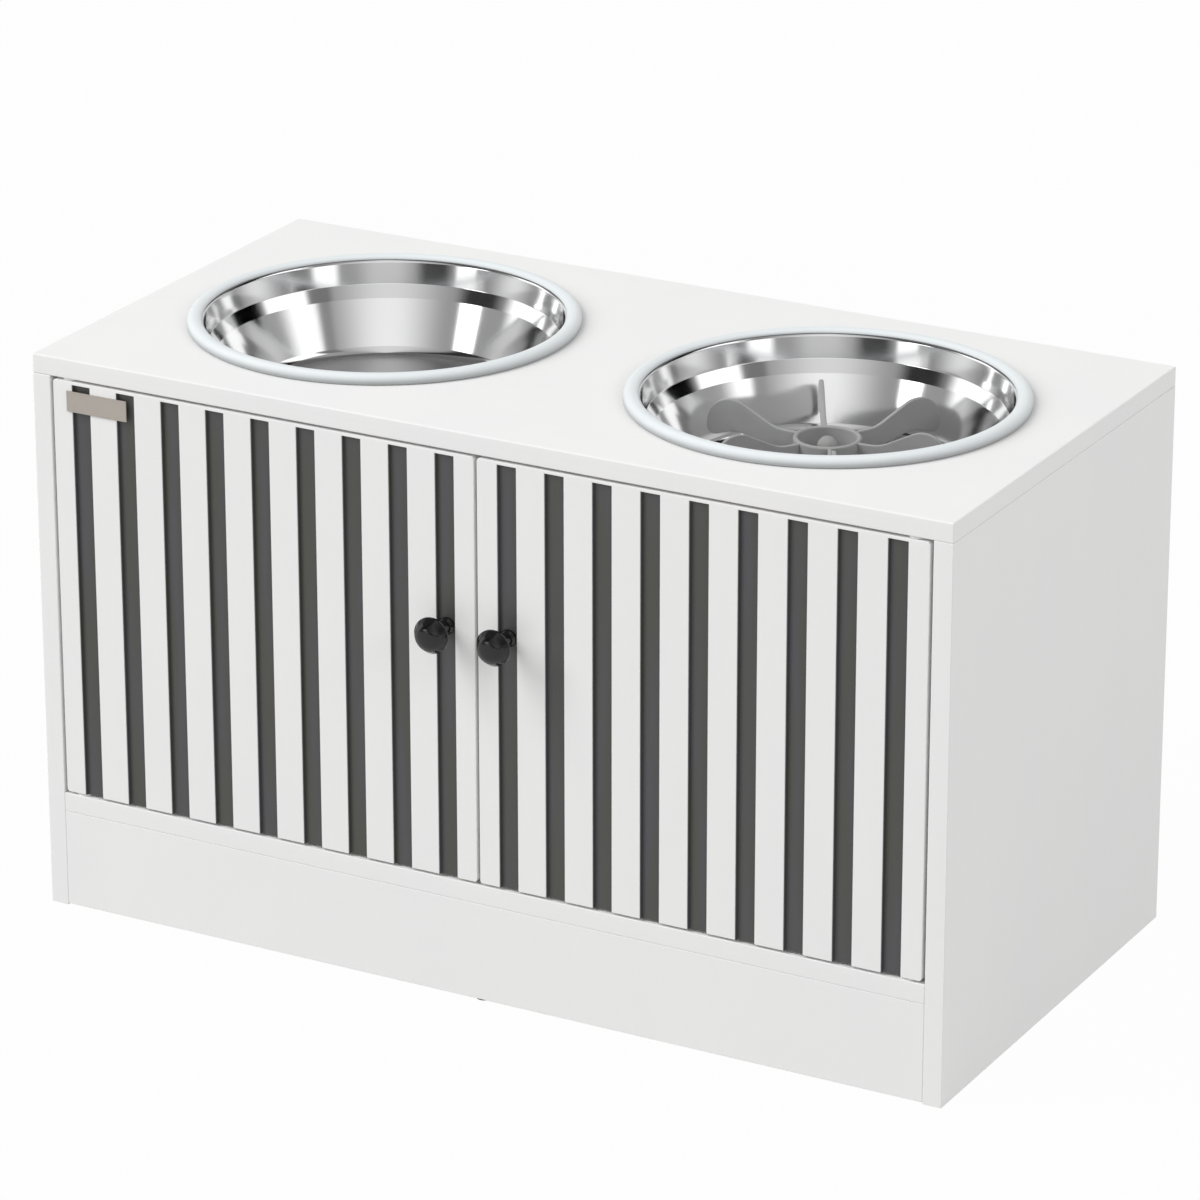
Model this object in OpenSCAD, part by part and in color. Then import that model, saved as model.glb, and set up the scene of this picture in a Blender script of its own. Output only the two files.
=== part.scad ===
// Raised feeder for a dog: a low cabinet with two doors and two bowls that lift out of its top.
// Millimetres, +Z up, doors facing -Y. The origin is on the floor, in the middle of the whole
// footprint, with the knobs counted in the depth.

/* [Cabinet] */
// Outside width of the cabinet
cabinet_w = 600; // [570:1:700]
// Outside depth of the cabinet, without the knobs
cabinet_d = 300; // [284:1:360]
// Height of the upper face of the top panel
cabinet_h = 352; // [320:1:450]
// Thickness of the boards
board_t = 12; // [12:0.5:16]
// Height of the underside of the bottom shelf
shelf_lift = 62; // [56:1:100]
// Gap between the plinth and the floor
plinth_gap = 1; // [0.6:0.1:3]

/* [Back panel] */
// Thickness of the back panel
back_t = 4; // [3:0.5:6]
// How far the back panel is set in from the rear edges
back_inset = 8; // [6:0.5:14]
// Depth of the grooves that hold the back panel
back_groove = 5; // [3:0.5:7]
// Clearance round the back panel in its grooves
back_clear = 0.1; // [0.05:0.05:0.3]
// Number of nails into the shelf
nail_count = 5; // [3:1:7]
// Distance from the end of the shelf to its first nail
nail_end = 48; // [38:1:80]
// Diameter of a nail
nail_d = 1.6; // [1.2:0.1:2]
// Length of a nail under its head
nail_l = 20; // [16:1:25]

/* [Doors] */
// Thickness of a door
door_t = 12; // [12:0.5:15]
// Gap beside and between the doors
door_gap = 2; // [1.6:0.1:3]
// Gap above and below a door
door_end_gap = 1.5; // [1.2:0.1:3]
// Radius of a door's corners
door_corner_r = 2; // [0.5:0.1:4]
// Number of grooves in a door
groove_count = 9; // [5:1:11]
// Width of a groove
groove_w = 12.3; // [10:0.1:16]
// Depth of a groove
groove_depth = 2.4; // [1.6:0.1:3]
// Width of the slat at each edge of a door
end_slat_w = 13.2; // [11:0.1:16]
// Height left uncut above the grooves
groove_top = 2; // [1:0.1:8]
// Thickness of the dark liner in a groove
liner_t = 0.5; // [0.4:0.1:0.8]
// How far the liner's edges lie below the face of the door
liner_sink = 0.3; // [0.1:0.1:0.6]

/* [Hinge pins] */
// Room between a door's swinging back corner and the side panel, as extra inset of the pin
pivot_margin = 2; // [1:0.1:4]
// Diameter of a hinge pin
pin_d = 5; // [4:0.1:5.4]
// Length of pin inside the door
pin_grip = 14; // [10:1:20]
// Radial clearance between pin and bush
pin_clear = 0.05; // [0.02:0.01:0.1]
// Wall of a bush round its pin
bush_wall = 1.45; // [1:0.05:1.8]
// Depth of a bush in its board
bush_depth = 8; // [6:0.5:9]
// Width of the bush's flange beyond its body
bush_flange_w = 1.5; // [1:0.1:1.7]
// Thickness of the bush's flange
bush_flange_t = 1.2; // [0.8:0.1:1.2]

/* [Knobs] */
// Diameter of a knob's head
knob_d = 22; // [16:0.5:26]
// How far a knob stands out from the door
knob_reach = 24; // [20:0.5:30]
// Height of the knobs above the floor
knob_lift = 232; // [150:1:290]
// Diameter of a knob's neck
knob_neck_d = 8; // [7:0.1:9]
// Room beside the knob's foot in its groove
knob_foot_clear = 0.4; // [0.2:0.1:0.8]
// Height of the domed front of a knob
knob_dome = 7; // [4:0.5:9]
// Thickness of the rim of a knob's head
knob_rim = 1.4; // [0.8:0.1:2.5]
// Height of the taper under a knob's head
knob_taper = 4.5; // [3:0.5:6]
// Diameter of the screw that holds a knob
knob_screw_d = 4; // [3:0.1:4.2]
// Length of that screw in the knob
knob_screw_grip = 10; // [6:0.5:12]

/* [Label plate] */
// Width of the bare label plate
label_w = 41.6; // [20:0.1:80]
// Height of the label plate
label_h = 12.8; // [8:0.1:20]
// Thickness of the label plate
label_t = 0.8; // [0.4:0.1:1.5]
// Distance of the plate from the door's outer edge
label_side = 9.7; // [4:0.1:30]
// Distance of the plate from the door's top edge
label_drop = 5.7; // [2:0.1:20]

/* [Bowls] */
// Distance between the middles of the two bowls
bowl_spacing = 296; // [272:1:310]
// Inside diameter at a bowl's mouth
bowl_mouth_d = 216; // [206:1:222]
// Depth of a bowl's floor below the top panel's upper face
bowl_depth = 51; // [46:0.5:80]
// Depth of the upper band of a bowl below that face
band_h = 10.7; // [8:0.1:16]
// How much the upper band narrows from the mouth down
band_taper = 3; // [0.5:0.1:4]
// Height of the step under the band
step_h = 7.8; // [5:0.1:10]
// Width of the step under the band
step_w = 4; // [3:0.5:8]
// Diameter at which the sloping wall would meet the floor
floor_d = 176.4; // [170:0.2:190]
// Inside radius between wall and floor
floor_r = 8; // [4:0.5:10]
// Radius of the bowl's other bends
bend_r = 2; // [1.6:0.1:2.2]
// Thickness of the bowl's steel
bowl_t = 0.8; // [0.6:0.1:1]
// Width of the flange round the mouth
flange_w = 6; // [5:0.5:7]
// Radial room between a bowl and its cut-out
cutout_clear = 2.2; // [1:0.1:2.6]

/* [Rim rings] */
// Width of a silicone ring
ring_w = 9.4; // [9:0.1:12]
// Thickness of the ring's lip under the flange
ring_lip_t = 2.9; // [1:0.1:4]
// Thickness of the ring over the flange
ring_cap_t = 2.4; // [1.8:0.1:4]
// Clearance round the flange in the ring's slot
ring_fit = 0.05; // [0.02:0.01:0.1]
// How far the ring's inner edge stays outside the mouth
ring_edge = 0.6; // [0.4:0.1:1.2]
// Height above the top panel at which the ring is widest
ring_waist = 2; // [1.5:0.1:2.6]

/* [Slow-feed insert] */
// Diameter of the insert's hub
hub_d = 40; // [36:0.5:48]
// Height of the hub
hub_h = 28.7; // [26:0.1:36]
// Thickness of the hub's wall
hub_wall = 2.8; // [2:0.1:4]
// Thickness of the web across the hub
web_t = 2; // [1.5:0.1:3]
// Height of the web's underside above the bowl's floor
web_lift = 10; // [8:0.5:12]
// Number of blades
blade_count = 6; // [4:1:7]
// Thickness of a blade
blade_t = 2.4; // [2:0.1:3.4]
// Reach of a blade from the middle
blade_reach = 78.3; // [74:0.1:82]
// Height of a blade's lobe
lobe_h = 41; // [38:0.5:46]
// Height of the open arch under a blade
arch_h = 22.4; // [20:0.1:26]
// Height of the dip in a blade beside the hub
dip_h = 28.2; // [24:0.1:28.6]
// Angle of a blade's rise from the dip to its lobe
rise_angle = 27.3; // [23:0.1:33]
// Drop of the lobe's tip below the top of the arch
lobe_sag = 4.3; // [2:0.1:8]
// Radius of the lower corner of the lobe's tip
tip_r = 5; // [3:0.5:6]

/* [Suction cup] */
// Diameter of the cup's skirt
cup_d = 32; // [24:0.5:33]
// Height of the cup's skirt
cup_h = 7; // [5:0.5:7.5]
// Diameter of the cup's stem
cup_stem_d = 6; // [4:0.1:8]
// Diameter of the round knob over the stem
cup_knob_d = 12; // [9:0.1:16]
// Clearance round the stem in the web
cup_clear = 0.1; // [0.05:0.05:0.2]

/* [Board joints] */
// Diameter of a dowel
dowel_d = 6; // [5:0.5:6.5]
// Length of dowel in the face of a board
dowel_face = 8; // [6:0.5:9]
// Length of dowel in the edge of a board
dowel_edge = 16; // [12:0.5:20]
// Diametral clearance of dowels, cams and bolts in their holes
joint_clear = 0.1; // [0.05:0.05:0.3]
// Diameter of a cam disc
cam_d = 12; // [11:0.5:14]
// Height of a cam disc
cam_h = 9.3; // [8.8:0.1:9.8]
// Distance from a joint to the middle of its cam disc
bolt_reach = 24; // [20:0.5:30]
// Length of thread in the face of a board
bolt_thread = 8; // [6:0.5:9]
// Diameter of a bolt's thread
bolt_d = 5; // [4:0.1:5.4]
// Diameter of a bolt's head
bolt_head_d = 5.8; // [5.6:0.1:6.2]
// Distance of the front bolts from the front
bolt_front = 45; // [38:1:60]
// Distance of the rear bolts from the rear
bolt_rear = 60; // [50:1:70]
// Distance between a bolt and its dowel
dowel_step = 40; // [24:1:60]
// Distance of the dowels along the plinth from its middle
plinth_dowel_x = 150; // [60:1:220]

/* [Catch] */
// Width of the catch housing
catch_w = 44; // [40:1:56]
// Depth of the catch housing
catch_d = 14; // [12:0.5:20]
// Height of the catch housing
catch_h = 12; // [10:0.5:16]
// Width of a magnet
magnet_w = 14; // [10:0.5:15]
// Depth of a magnet
magnet_d = 9; // [6:0.5:9.5]
// Height of a magnet
magnet_h = 5; // [4:0.5:6]
// Distance of the magnets from the middle
magnet_x = 5; // [4:0.1:6]
// Gap between magnet and strike plate
catch_gap = 0.3; // [0.2:0.1:0.8]
// Width of a strike plate
strike_w = 31; // [31:0.5:36]
// Height of a strike plate
strike_h = 10; // [8:0.5:12]
// Thickness of a strike plate
strike_t = 1; // [0.6:0.1:1.5]
// Diameter of the small screws of the catch and the strike plates
small_screw_d = 2.6; // [2:0.1:3]
// Length of those screws in wood
small_screw_grip = 8; // [6:0.5:9]

/* [Glide] */
// Diameter of the glide under the plinth
glide_d = 10; // [6:0.5:11]
// Diameter of the glide's pin
glide_pin_d = 2.4; // [1.6:0.1:3]
// Length of the glide's pin
glide_pin_l = 10; // [6:0.5:14]

/* [Hidden] */
$fn = 64;
cut = 1; // how far a cutting shape runs past a face

// the cabinet's main planes
front_y = (knob_reach - cabinet_d) / 2;
back_y = front_y + cabinet_d;
half_w = cabinet_w / 2;
inner_x = half_w - board_t;
side_h = cabinet_h - board_t;
shelf_top = shelf_lift + board_t;
edge_y = front_y + board_t / 2;
edge_x = half_w - board_t / 2;
back_rear = back_y - back_inset;
back_front = back_rear - back_t;

// the doors
door_near = door_gap / 2;
door_far = inner_x - door_gap;
door_w = door_far - door_near;
door_z0 = shelf_top + door_end_gap;
door_z1 = side_h - door_end_gap;
door_rear = front_y + door_t;
groove_pitch = (door_w - 2 * end_slat_w - groove_w) / (groove_count - 1);
groove_x0 = door_near + end_slat_w + groove_w / 2;
groove_floor = front_y + groove_depth;
liner_face = groove_floor - liner_t;

// the hinge pins: far enough in that the door's back corner swings clear of the side panel
pivot_inset = (pow(door_t / 2, 2) - pow(door_gap, 2)) / (2 * door_gap) + pivot_margin;
pivot_x = door_far - pivot_inset;
pivot_y = front_y + door_t / 2;
bush_bore_d = pin_d + 2 * pin_clear;
bush_d = bush_bore_d + 2 * bush_wall;
pin_end = door_end_gap + bush_depth - 1;

// the bowls, with heights counted from the top panel's upper face
bowl_y = front_y + cabinet_d / 2;
mouth_r = bowl_mouth_d / 2;
flange_z = ring_lip_t + ring_fit + bowl_t;
flange_r = mouth_r + flange_w;
cutout_r = mouth_r + bowl_t + cutout_clear;
ring_in = mouth_r + ring_edge;
ring_out = ring_in + ring_w;
slot_z = flange_z + ring_fit;
ring_top = slot_z + ring_cap_t;
ring_foot_r = 1.2; // the bend at the ring's outer foot
crown_steps = 8; // straight pieces in each half of the ring's crown

// a blade of the insert
tip_flat = 1.6; // upright stretch of the tip
tip_slope = 18; // slope of the underside beside the tip
foot_w = 8.4; // width of the foot beside the hub
arch_start = 20; // distance from the hub's wall at which the arch flattens out
arch_share = 0.76; // share of the arch's height reached there
dip_bend = 24; // the bends of the dip and of the arch, from its top to its flatter start
arch_bend = 16;
arch_start_bend = 12;

// the catch
catch_front = door_rear + strike_t + catch_gap;
magnet_z = side_h - catch_h / 2;
strike_near = door_near + 2;
strike_screws = [strike_near + 22, strike_near + 28];

// ---- outlines ----

function unit(v) = v / norm(v);
function left_of(d) = [-d[1], d[0]];
function turned(a, b) = a[0] * b[1] - a[1] * b[0];

// A line of points moved sideways by e, to the right of its direction
function moved(pts, e) = [
    for (i = [0 : len(pts) - 1])
        let (n1 = left_of(unit(pts[max(i, 1)] - pts[max(i, 1) - 1])))
        let (n2 = left_of(unit(pts[min(i + 1, len(pts) - 1)] - pts[min(i, len(pts) - 2)])))
        pts[i] - e * (n1 + n2) / (1 + n1 * n2)
];

// The arc that rounds corner b of the line a, b, c with radius r, in n steps
function corner(a, b, c, r, n) =
    let (d1 = unit(a - b))
    let (d2 = unit(c - b))
    let (half = acos(d1 * d2) / 2)
    let (mid = b + unit(d1 + d2) * r / sin(half))
    let (from = b + d1 * r / tan(half) - mid)
    let (sweep = (180 - 2 * half) * sign(turned(-d1, d2)))
    [for (i = [0 : n]) let (s = i * sweep / n)
        mid + [from[0] * cos(s) - from[1] * sin(s), from[0] * sin(s) + from[1] * cos(s)]];

// A line whose inner corners are rounded by the radii in rs
function rounded(pts, rs, n = 6) = [
    for (i = [0 : len(pts) - 1])
        for (p = (i == 0 || i == len(pts) - 1 || rs[i] == 0)
            ? [pts[i]] : corner(pts[i - 1], pts[i], pts[i + 1], rs[i], n)) p
];

function reversed(v) = [for (i = [len(v) - 1 : -1 : 0]) v[i]];

// ---- small shapes ----

module block(a, b) {
    translate([min(a[0], b[0]), min(a[1], b[1]), min(a[2], b[2])])
        cube([abs(b[0] - a[0]), abs(b[1] - a[1]), abs(b[2] - a[2])]);
}

// a cylinder between two heights
module rod(d, z0, z1) {
    translate([0, 0, z0]) cylinder(h = z1 - z0, d = d);
}

module on_side(side) {
    if (side > 0) children();
    else mirror([1, 0, 0]) children();
}

module round_plate(x0, z0, x1, z1, r) {
    translate([x0 + r, z0]) square([x1 - x0 - 2 * r, z1 - z0]);
    translate([x0, z0 + r]) square([x1 - x0, z1 - z0 - 2 * r]);
    for (x = [x0 + r, x1 - r], z = [z0 + r, z1 - r]) translate([x, z]) circle(r = r);
}

// a driver's cross, cut down from height z
module cross_slot(w, l, deep, z) {
    for (a = [0, 90]) rotate([0, 0, a]) translate([-l / 2, -w / 2, z - deep]) cube([l, w, deep + cut]);
}

// ---- places of the board joints; local +Z runs into the board whose face is met ----

joint_ys = [front_y + bolt_front, back_y - bolt_rear];
dowel_ys = [front_y + bolt_front + dowel_step, back_y - bolt_rear - dowel_step];
plinth_z = (plinth_gap + shelf_lift) / 2;
plinth_dowel_z = plinth_z + (shelf_lift - plinth_gap) / 4;

module at_top(ys) {
    for (side = [-1, 1], y = ys) translate([side * edge_x, y, side_h]) children();
}

module at_shelf_ends(ys) {
    for (side = [-1, 1], y = ys)
        translate([side * inner_x, y, shelf_lift + board_t / 2]) rotate([0, side * 90, 0]) children();
}

module at_plinth_ends(z) {
    for (side = [-1, 1]) translate([side * inner_x, edge_y, z]) rotate([0, side * 90, 0]) children();
}

module at_plinth_top() {
    for (side = [-1, 1]) translate([side * plinth_dowel_x, edge_y, shelf_lift]) children();
}

module at_bolts() {
    at_top(joint_ys) children();
    at_shelf_ends(joint_ys) children();
    at_plinth_ends(plinth_z) children();
}

module at_dowels() {
    at_top(dowel_ys) children();
    at_shelf_ends(dowel_ys) children();
    at_plinth_ends(plinth_dowel_z) children();
    at_plinth_top() children();
}

// the mouths of the cam discs' pockets, with local +Z pointing out of the board
module at_cams() {
    for (side = [-1, 1], y = joint_ys) {
        translate([side * inner_x, y, side_h - bolt_reach]) rotate([0, -side * 90, 0]) children();
        translate([side * (inner_x - bolt_reach), y, shelf_lift]) rotate([180, 0, 0]) children();
    }
    for (side = [-1, 1])
        translate([side * (inner_x - bolt_reach), front_y + board_t, plinth_z]) rotate([-90, 0, 0]) children();
}

// every hole of the board joints
module joint_holes() {
    at_bolts() rod(bolt_d + joint_clear, -cut, bolt_thread + joint_clear);
    at_bolts() rod(bolt_head_d + 2 * joint_clear, -bolt_reach, cut / 10);
    at_dowels() rod(dowel_d + joint_clear, -dowel_edge - cut, dowel_face + joint_clear);
    at_cams() rod(cam_d + joint_clear, -cam_h - joint_clear, cut);
}

// ---- places of the bowls, the hinge pins and the nails ----

module at_bowl(side) {
    translate([side * bowl_spacing / 2, bowl_y, cabinet_h]) children();
}

module at_pivot(side, z) {
    translate([side * pivot_x, pivot_y, z]) children();
}

module at_nails() {
    for (i = [0 : nail_count - 1]) {
        x = -inner_x + nail_end + i * (2 * (inner_x - nail_end)) / (nail_count - 1);
        translate([x, back_rear, shelf_lift + board_t / 2]) rotate([90, 0, 0]) children();
    }
}

module at_catch_screws() {
    for (y = [0.28, 0.72]) translate([0, catch_front + y * catch_d, side_h]) children();
}

// ---- cabinet ----

// the back panel's grooves
module back_grooves() {
    block([-inner_x - back_groove, back_front - back_clear, -cut],
          [inner_x + back_groove, back_rear + back_clear, side_h + back_groove]);
}

module top_panel() {
    color("white") difference() {
        block([-half_w, front_y, side_h], [half_w, back_y, cabinet_h]);
        for (side = [-1, 1]) {
            at_bowl(side) cylinder(r = cutout_r, h = 3 * board_t, center = true);
            at_pivot(side, side_h) rod(bush_d, -cut, bush_depth);
        }
        back_grooves();
        joint_holes();
        at_catch_screws() rod(small_screw_d, -cut, small_screw_grip);
    }
}

module side_panel(side) {
    color("whitesmoke") difference() {
        block([side * inner_x, front_y, 0], [side * half_w, back_y, side_h]);
        back_grooves();
        joint_holes();
    }
}

module bottom_shelf() {
    color("whitesmoke") difference() {
        block([-inner_x, front_y, shelf_lift], [inner_x, back_front, shelf_top]);
        joint_holes();
        for (side = [-1, 1]) at_pivot(side, shelf_top) rod(bush_d, -bush_depth, cut);
        at_nails() rod(nail_d, -cut, nail_l + cut);
    }
}

module front_plinth() {
    color("whitesmoke") difference() {
        block([-inner_x, front_y, plinth_gap], [inner_x, front_y + board_t, shelf_lift]);
        joint_holes();
        translate([0, edge_y, plinth_gap]) rod(glide_pin_d, -cut, glide_pin_l);
    }
}

module back_panel() {
    color("gainsboro") difference() {
        block([-inner_x - back_groove + back_clear, back_front, plinth_gap],
              [inner_x + back_groove - back_clear, back_rear, side_h + back_groove - back_clear]);
        at_nails() rod(nail_d, -cut, back_t + cut);
    }
}

module wood_dowels() {
    color("burlywood") at_dowels() rod(dowel_d, -dowel_edge, dowel_face);
}

module cam_bolts() {
    color("silver") at_bolts() {
        rod(bolt_d, -bolt_reach, bolt_thread);
        rod(bolt_head_d, -bolt_reach - bolt_head_d / 2, -bolt_reach + bolt_head_d / 2);
    }
}

module cam_discs() {
    color("silver") at_cams() difference() {
        rod(cam_d, -cam_h, -joint_clear);
        translate([0, 0, -board_t / 2]) rotate([0, 90, 0])
            cylinder(d = bolt_head_d + 2 * joint_clear, h = 2 * cam_d, center = true);
        cross_slot(1.4, 8, 1.6, -joint_clear);
    }
}

module back_nails() {
    color("silver") at_nails() {
        rod(nail_d, -nail_d / 2, nail_l);
        rod(3 * nail_d, -nail_d / 2, 0);
    }
}

module centre_glide() {
    color("dimgray") translate([0, edge_y, 0]) {
        rod(glide_d, 0, plinth_gap);
        rod(glide_pin_d, plinth_gap / 2, plinth_gap + glide_pin_l - 0.5);
    }
}

module catch_housing() {
    color("white") difference() {
        block([-catch_w / 2, catch_front, side_h - catch_h], [catch_w / 2, catch_front + catch_d, side_h]);
        for (side = [-1, 1])
            block([side * magnet_x, catch_front - cut, magnet_z - magnet_h / 2],
                  [side * (magnet_x + magnet_w), catch_front + magnet_d, magnet_z + magnet_h / 2]);
        at_catch_screws() {
            rod(small_screw_d + joint_clear, -catch_h - cut, cut);
            rod(2 * small_screw_d + joint_clear, -catch_h - cut, -catch_h + small_screw_d);
        }
    }
}

module catch_magnets() {
    color("dimgray") for (side = [-1, 1])
        block([side * magnet_x, catch_front, magnet_z - magnet_h / 2],
              [side * (magnet_x + magnet_w), catch_front + magnet_d, magnet_z + magnet_h / 2]);
}

module catch_screws() {
    color("silver") at_catch_screws() difference() {
        union() {
            rod(small_screw_d, -catch_h + small_screw_d / 2, small_screw_grip);
            rod(2 * small_screw_d, -catch_h + 0.2, -catch_h + small_screw_d);
        }
        rotate([180, 0, 0]) cross_slot(0.7, 3.2, 0.9, catch_h - 0.2);
    }
}

// a flanged bush seen from its board: local +Z runs into the board
module bush() {
    color("lightgray") difference() {
        union() {
            rod(bush_d, -bush_flange_t, bush_depth);
            rod(bush_d + 2 * bush_flange_w, -bush_flange_t, 0);
        }
        rod(bush_bore_d, -bush_flange_t - cut, bush_depth + cut);
    }
}

module upper_bush(side) {
    at_pivot(side, side_h) bush();
}

module lower_bush(side) {
    at_pivot(side, shelf_top) rotate([180, 0, 0]) bush();
}

// ---- doors, drawn on the +X side ----

module at_knob() {
    translate([groove_x0, liner_face, knob_lift]) rotate([90, 0, 0]) children();
}

module at_strike_screws() {
    for (x = strike_screws) translate([x, door_rear, magnet_z]) rotate([90, 0, 0]) children();
}

module at_grooves() {
    for (i = [0 : groove_count - 1]) translate([groove_x0 + i * groove_pitch, 0, 0]) children();
}

module door_panel(side) {
    color("white") on_side(side) difference() {
        translate([0, door_rear, 0]) rotate([90, 0, 0]) linear_extrude(door_t)
            round_plate(door_near, door_z0, door_far, door_z1, door_corner_r);
        at_grooves() block([-groove_w / 2, front_y - cut, door_z0 - cut],
                           [groove_w / 2, groove_floor, door_z1 - groove_top]);
        at_knob() rod(knob_screw_d, -door_t - cut, cut);
        at_strike_screws() rod(small_screw_d, -cut, small_screw_grip);
        at_pivot(1, door_z0) rod(pin_d, -cut, pin_grip);
        at_pivot(1, door_z1) rod(pin_d, -pin_grip, cut);
    }
}

// dark channels along the floors and walls of the grooves
module groove_liners(side) {
    color([0.30, 0.30, 0.30]) on_side(side) difference() {
        at_grooves() difference() {
            block([-groove_w / 2, front_y + liner_sink, door_z0],
                  [groove_w / 2, groove_floor, door_z1 - groove_top]);
            block([-groove_w / 2 + liner_t, front_y - cut, door_z0 - cut],
                  [groove_w / 2 - liner_t, liner_face, door_z1]);
        }
        at_knob() rod(knob_screw_d, -door_t, cut);
    }
}

module knob(side) {
    head = knob_d / 2;
    neck = knob_neck_d / 2;
    foot = groove_w / 2 - liner_t - knob_foot_clear;
    tip = knob_reach + liner_face - front_y;
    rim_z = tip - knob_dome - knob_rim;
    profile = rounded(
        [[0, 0], [foot, 0], [foot, 1.6], [neck, 3], [neck, rim_z - knob_taper], [head, rim_z],
         [head, tip - knob_dome], [head * 0.66, tip - knob_dome * 0.2], [0, tip]],
        [0, 0.4, 0.4, 0.8, 2, 0.6, 0.8, head * 0.7, 0]);
    color([0.16, 0.16, 0.17]) on_side(side) at_knob() difference() {
        rotate_extrude() polygon(profile);
        rod(knob_screw_d, -cut, knob_screw_grip + 0.5);
    }
}

module knob_screw(side) {
    head_z = liner_face - door_rear;
    color("silver") on_side(side) at_knob() difference() {
        union() {
            rod(knob_screw_d, head_z - 1, knob_screw_grip);
            rod(2 * knob_screw_d, head_z - knob_screw_d / 2, head_z);
        }
        rotate([180, 0, 0]) cross_slot(1, 4.6, 1.2, -head_z + knob_screw_d / 2);
    }
}

module label_plate() {
    color([0.79, 0.74, 0.68]) on_side(-1)
        block([door_far - label_side - label_w, front_y - label_t, door_z1 - label_drop - label_h],
              [door_far - label_side, front_y, door_z1 - label_drop]);
}

module strike_plate(side) {
    color("silver") on_side(side) difference() {
        block([strike_near, door_rear, magnet_z - strike_h / 2],
              [strike_near + strike_w, door_rear + strike_t, magnet_z + min(strike_h / 2, catch_h / 2 - door_end_gap)]);
        at_strike_screws() rod(small_screw_d, -strike_t - cut, cut);
    }
}

module strike_screws_pair(side) {
    color("silver") on_side(side) at_strike_screws() {
        rod(small_screw_d, -strike_t - 1, small_screw_grip);
        rod(1.8 * small_screw_d, -strike_t - small_screw_d / 2, -strike_t);
    }
}

module upper_pin(side) {
    color("silver") at_pivot(side, door_z1) rod(pin_d, -pin_grip, pin_end);
}

module lower_pin(side) {
    color("silver") at_pivot(side, door_z0) rod(pin_d, -pin_end, pin_grip);
}

// ---- bowls ----

module bowl(side) {
    inside = [[0, -bowl_depth], [floor_d / 2, -bowl_depth],
              [mouth_r - band_taper - step_w, -band_h - step_h], [mouth_r - band_taper, -band_h],
              [mouth_r, flange_z], [flange_r, flange_z]];
    in_rs = [0, floor_r, bend_r, bend_r, bend_r, 0];
    out_rs = [0, floor_r + bowl_t, bend_r - bowl_t, bend_r + bowl_t, bend_r - bowl_t, 0];
    wall = concat(rounded(inside, in_rs), reversed(rounded(moved(inside, bowl_t), out_rs)));
    color("silver") at_bowl(side) rotate_extrude($fn = 128) polygon(wall);
}

// a quarter of an ellipse about c, from angle a0 to a1
function swept(c, rx, rz, a0, a1, n) =
    [for (i = [0 : n]) let (a = a0 + (a1 - a0) * i / n) [c[0] + rx * cos(a), c[1] + rz * sin(a)]];

// a crowned silicone ring with a slot for the bowl's flange; it rests on the top panel
module bowl_ring(side) {
    half = ring_w / 2;
    mid = ring_in + half;
    foot = rounded([[cutout_r, 0], [ring_out, 0], [ring_out, ring_waist]], [0, ring_foot_r, 0]);
    outer = swept([mid, ring_waist], half, ring_top - ring_waist, 0, 90, crown_steps);
    inner = swept([mid, slot_z], half, ring_top - slot_z, 90, 180, crown_steps);
    slot = [[flange_r + ring_fit, slot_z], [flange_r + ring_fit, ring_lip_t], [cutout_r, ring_lip_t]];
    crown = concat([for (i = [1 : crown_steps]) outer[i]], [for (i = [1 : crown_steps]) inner[i]]);
    outline = concat(foot, crown, slot);
    color([0.86, 0.89, 0.90]) at_bowl(side) rotate_extrude($fn = 128) polygon(outline);
}

// ---- slow-feed insert, with heights counted from the bowl's floor ----

module at_insert() {
    at_bowl(1) translate([0, 0, -bowl_depth]) children();
}

// one upright blade: it rises from a shallow dip to a round lobe and is open underneath
module blade() {
    root = hub_d / 2 - hub_wall / 2;
    tip_z = arch_h - lobe_sag;
    lobe_r = lobe_h - tip_z - tip_r - tip_flat;
    // corners that the roundings of the lobe and of its tip cut off
    lobe_z = lobe_h - lobe_r + lobe_r / tan((90 - rise_angle) / 2);
    under_z = tip_z + tip_r - tip_r / tan((90 - tip_slope) / 2);
    dip_x = blade_reach - (lobe_z - dip_h) / tan(rise_angle);
    arch_x = blade_reach - (arch_h - under_z) / tan(tip_slope);
    dip_r = min(dip_bend, 0.9 * (dip_x - root) / tan(rise_angle / 2));
    outline = rounded(
        [[root, hub_h - 0.2], [dip_x, dip_h], [blade_reach, lobe_z], [blade_reach, under_z], [arch_x, arch_h],
         [root + arch_start, arch_h * arch_share], [root + foot_w, 0], [root, 0]],
        [0, dip_r, lobe_r, tip_r, arch_bend, arch_start_bend, 0, 0]);
    rotate([90, 0, 0]) translate([0, 0, -blade_t / 2]) linear_extrude(blade_t) polygon(outline);
}

module feeder_insert() {
    color([0.58, 0.58, 0.58]) at_insert() difference() {
        union() {
            rod(hub_d, 0, hub_h);
            for (i = [0 : blade_count - 1]) rotate([0, 0, i * 360 / blade_count]) blade();
        }
        rod(hub_d - 2 * hub_wall, -cut, web_lift);
        rod(hub_d - 2 * hub_wall, web_lift + web_t, hub_h + cut);
        rod(cup_stem_d + 2 * cup_clear, 0, hub_h);
    }
}

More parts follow.
